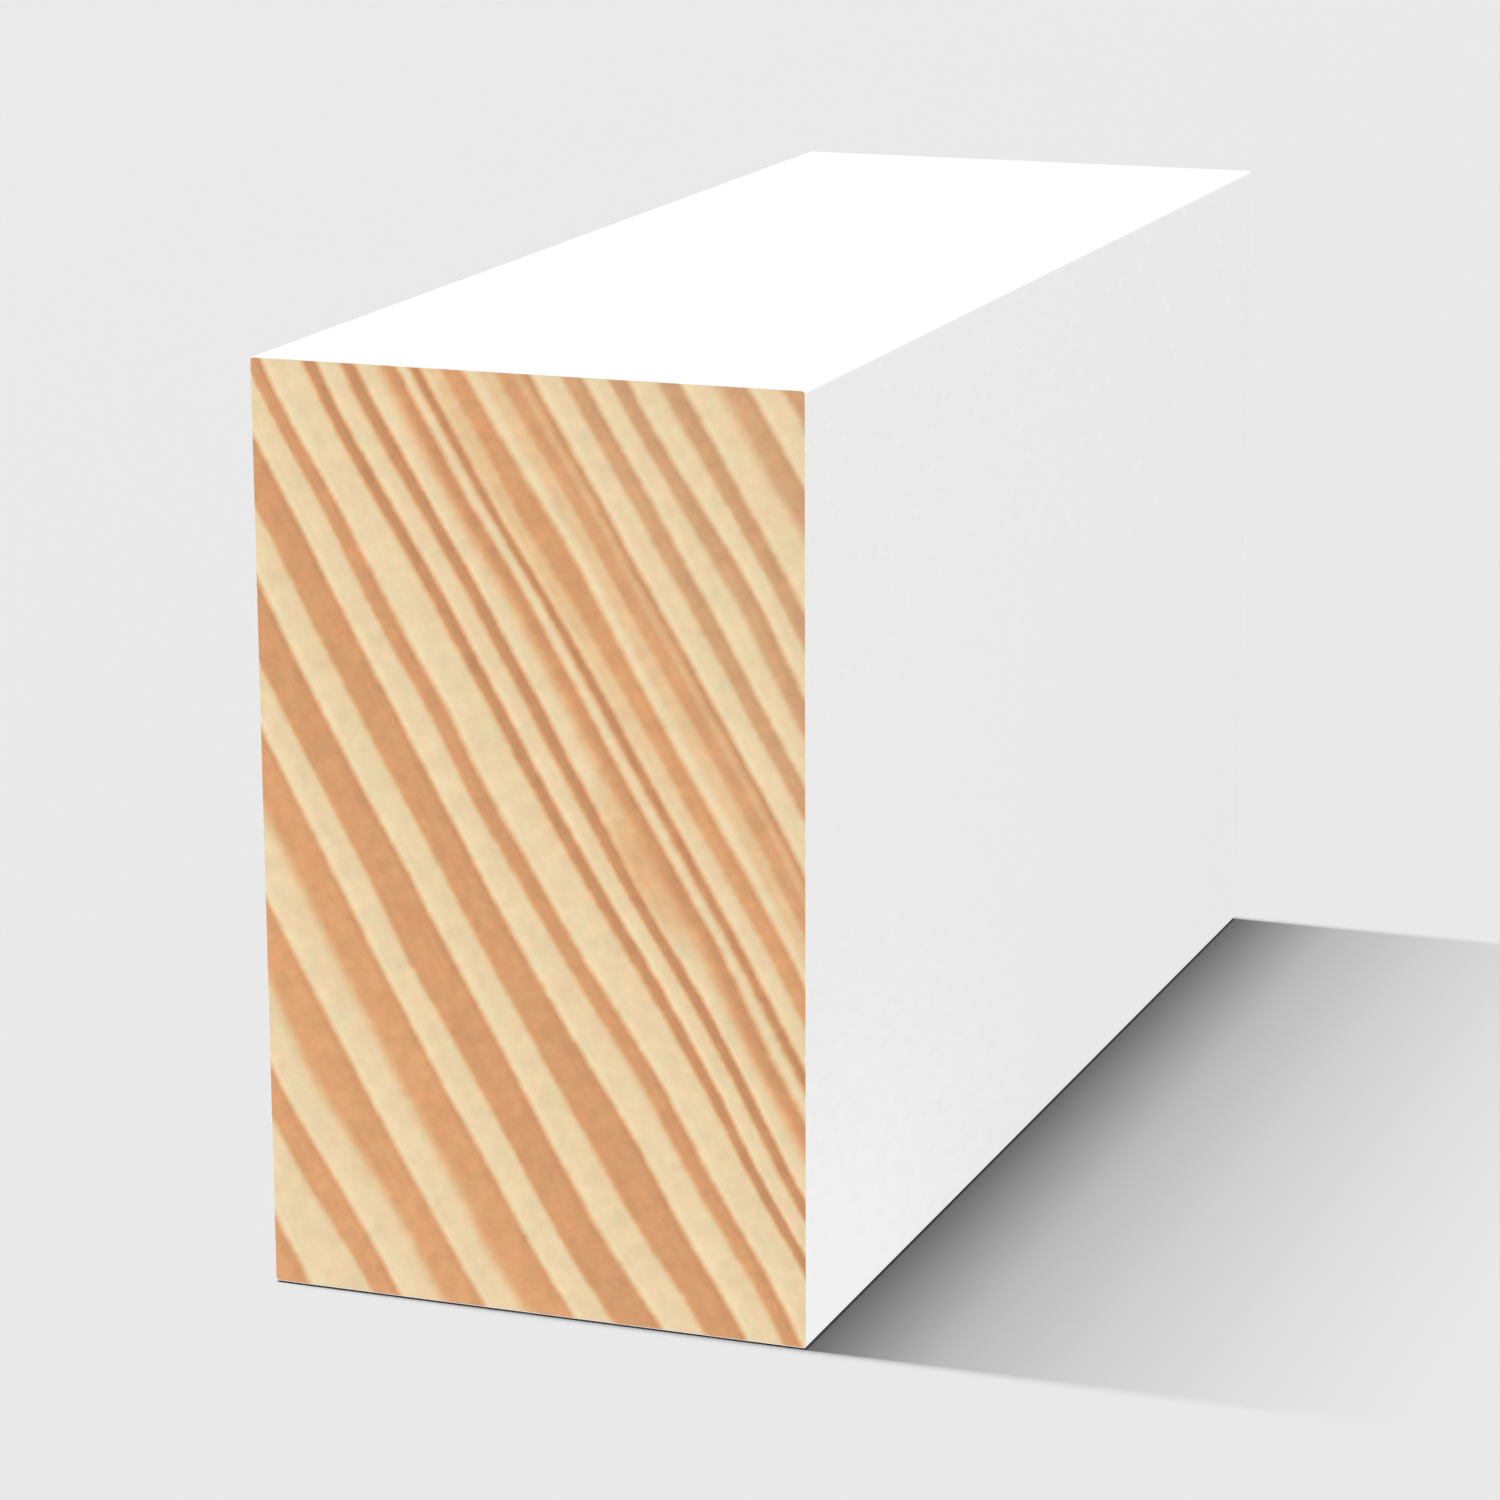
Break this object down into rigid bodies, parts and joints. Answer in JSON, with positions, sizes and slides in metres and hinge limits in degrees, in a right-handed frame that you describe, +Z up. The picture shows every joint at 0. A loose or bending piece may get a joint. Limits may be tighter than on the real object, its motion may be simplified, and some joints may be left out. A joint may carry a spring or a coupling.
{
  "type": "timber moulding",
  "caption": "Plain rectangular length of white-primed softwood moulding, sawn square with bare end grain, fixed flat on its back as a fillet, stop or trim.",
  "frame": {"origin": "centre of the underside, the narrow face that the piece stands on", "axes": "+Y along the grain from the near sawn end to the far one, +X square to the broad face on the right of the near end, +Z up"},
  "size_m": [0.038, 0.107, 0.063],
  "materials": {
    "white_primer": "matte",
    "bare_pine": "matte"
  },
  "bodies": {
    "root": {"timber_moulding": "white_primer"}
  },
  "joints": []
}
